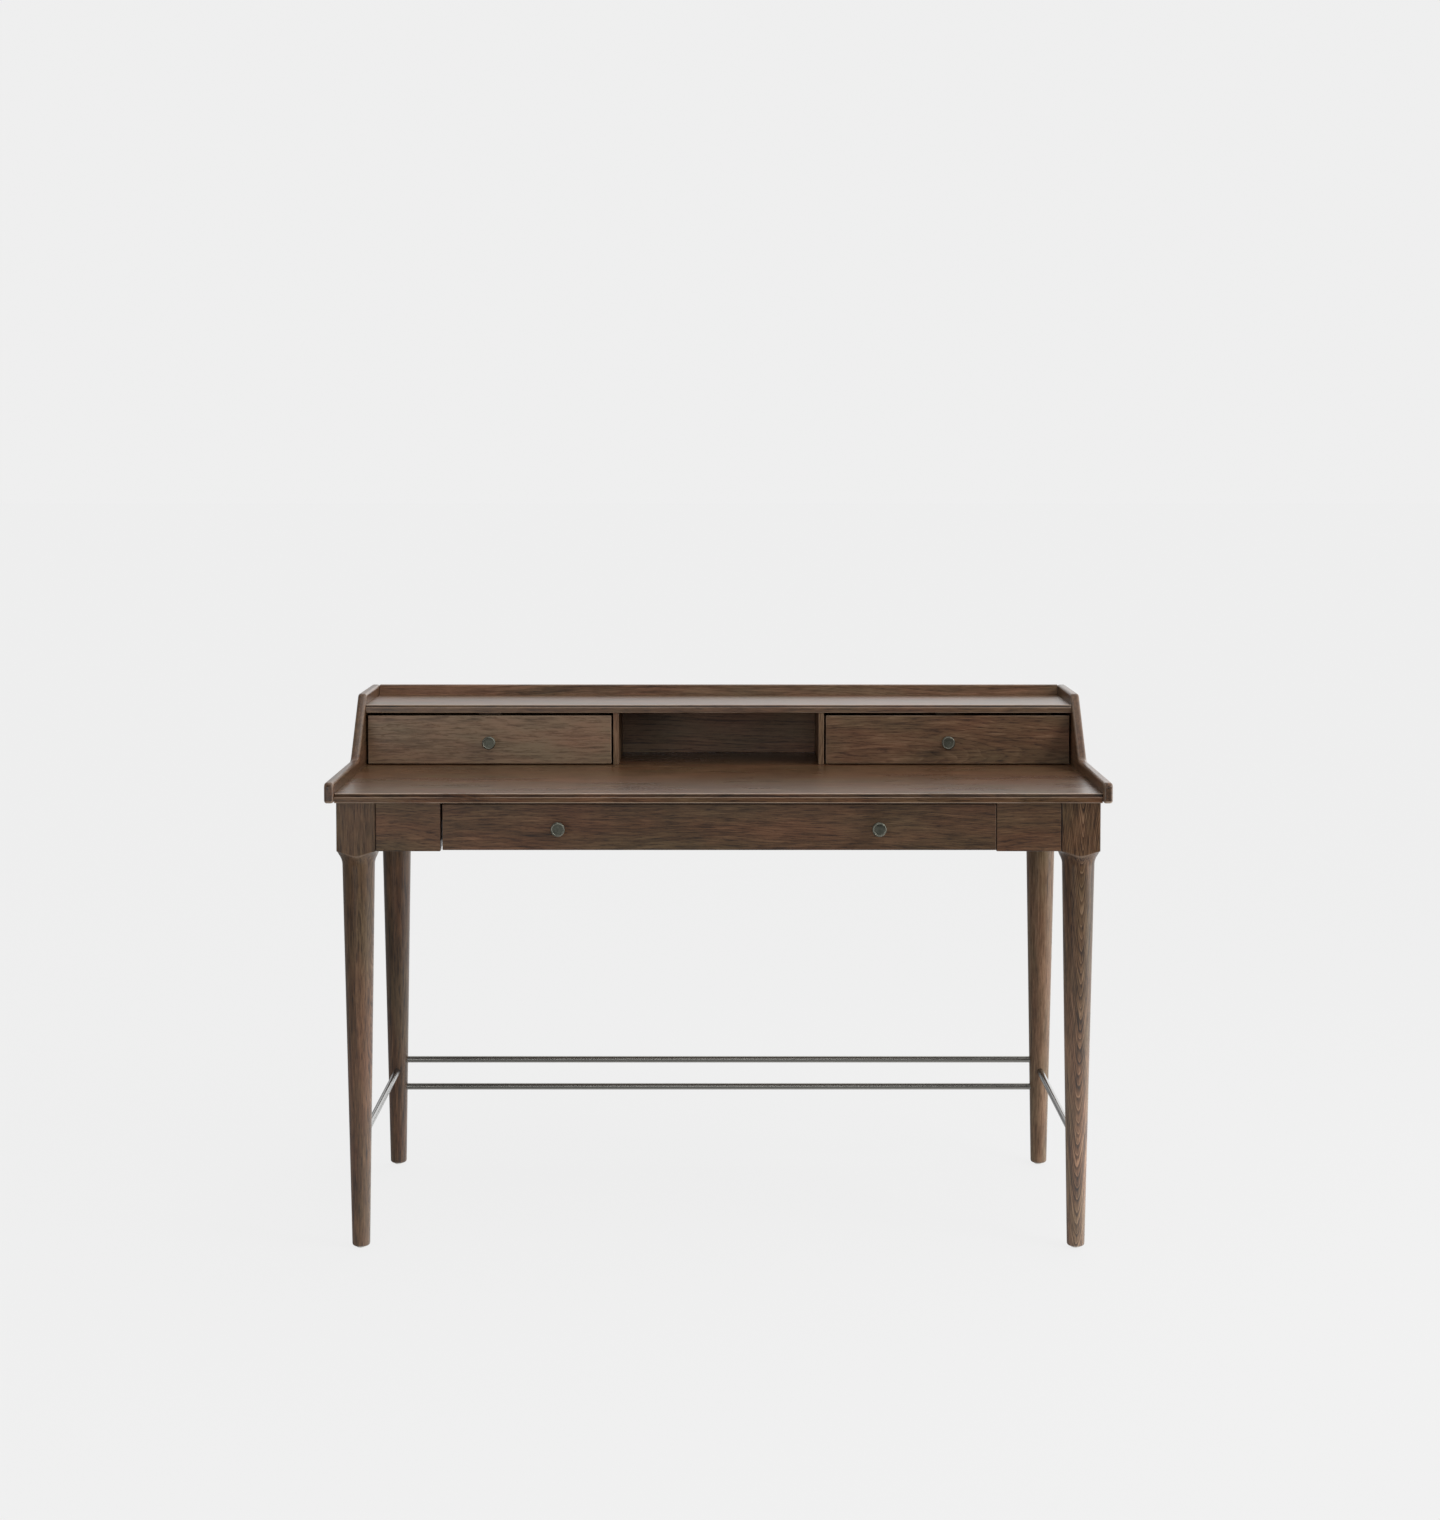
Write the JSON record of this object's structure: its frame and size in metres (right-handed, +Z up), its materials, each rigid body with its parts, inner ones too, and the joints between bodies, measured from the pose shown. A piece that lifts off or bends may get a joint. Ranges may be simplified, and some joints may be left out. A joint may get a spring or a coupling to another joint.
{
  "type": "writing desk with drawers",
  "caption": "Writing desk with a wide drawer, a low hutch with two small drawers and an open cubby, turned tapered legs and steel rod stretchers.",
  "frame": {"origin": "on the floor, under the middle of the whole desk's width and of its whole depth, knobs included", "axes": "+X to the sitter's right, +Y from the drawer fronts towards the back, +Z up"},
  "size_m": [1.32, 0.616, 0.911],
  "materials": {
    "oak_stained": "dark brown stained oak, satin lacquer, open grain",
    "oak_top": "dark brown stained oak, satin lacquer, smoother than the frame",
    "drawer_box_wood": "thinly stained, matt",
    "knob_metal": "dark aged pewter, lightly brushed",
    "rod_steel": "gunmetal, satin",
    "zinc_steel": "bright zinc plated",
    "glide_plastic": "pale grey nylon"
  },
  "bodies": {
    "frame": {"leg_front_left": "oak_stained", "leg_front_right": "oak_stained", "leg_back_left": "oak_stained", "leg_back_right": "oak_stained", "glide_front_left": "glide_plastic", "glide_front_right": "glide_plastic", "glide_back_left": "glide_plastic", "glide_back_right": "glide_plastic", "back_rod_upper": "rod_steel", "back_rod_lower": "rod_steel", "side_rod_left": "rod_steel", "side_rod_right": "rod_steel", "desktop": "oak_top", "side_panel_left": "oak_stained", "side_panel_right": "oak_stained", "upper_shelf": "oak_top", "back_panel": "oak_stained", "divider_left": "oak_stained", "divider_right": "oak_stained", "front_panel_left": "oak_stained", "front_panel_right": "oak_stained", "side_apron_left": "oak_stained", "side_apron_right": "oak_stained", "back_apron": "oak_stained", "drawer_cheek_left": "oak_stained", "drawer_cheek_right": "oak_stained", "front_rail": "oak_stained", "cleat_left": "oak_stained", "cleat_right": "oak_stained", "cleat_back": "oak_stained", "slide_channel_left": "zinc_steel", "slide_channel_right": "zinc_steel", "drawer_stop_left": "oak_stained", "drawer_stop_right": "oak_stained"},
    "centre_drawer": {"centre_drawer_front": "oak_stained", "centre_drawer_side_left": "drawer_box_wood", "centre_drawer_side_right": "drawer_box_wood", "centre_drawer_back": "drawer_box_wood", "centre_drawer_bottom": "drawer_box_wood", "centre_drawer_knob_left": "knob_metal", "centre_drawer_knob_right": "knob_metal", "centre_drawer_knob_screw_left": "zinc_steel", "centre_drawer_knob_screw_right": "zinc_steel", "slide_bar_left": "zinc_steel", "slide_bar_right": "zinc_steel"},
    "left_drawer": {"left_drawer_front": "oak_stained", "left_drawer_side_left": "drawer_box_wood", "left_drawer_side_right": "drawer_box_wood", "left_drawer_back": "drawer_box_wood", "left_drawer_bottom": "drawer_box_wood", "left_drawer_knob": "knob_metal", "left_drawer_knob_screw": "zinc_steel"},
    "right_drawer": {"right_drawer_front": "oak_stained", "right_drawer_side_left": "drawer_box_wood", "right_drawer_side_right": "drawer_box_wood", "right_drawer_back": "drawer_box_wood", "right_drawer_bottom": "drawer_box_wood", "right_drawer_knob": "knob_metal", "right_drawer_knob_screw": "zinc_steel"}
  },
  "joints": [
    {"name": "centre_drawer_slide", "type": "slide", "parent": "frame", "child": "centre_drawer", "axis": [0, -1, 0], "range_m": [0, 0.3]},
    {"name": "left_drawer_slide", "type": "slide", "parent": "frame", "child": "left_drawer", "axis": [0, -1, 0], "range_m": [0, 0.14]},
    {"name": "right_drawer_slide", "type": "slide", "parent": "frame", "child": "right_drawer", "axis": [0, -1, 0], "range_m": [0, 0.14]}
  ]
}
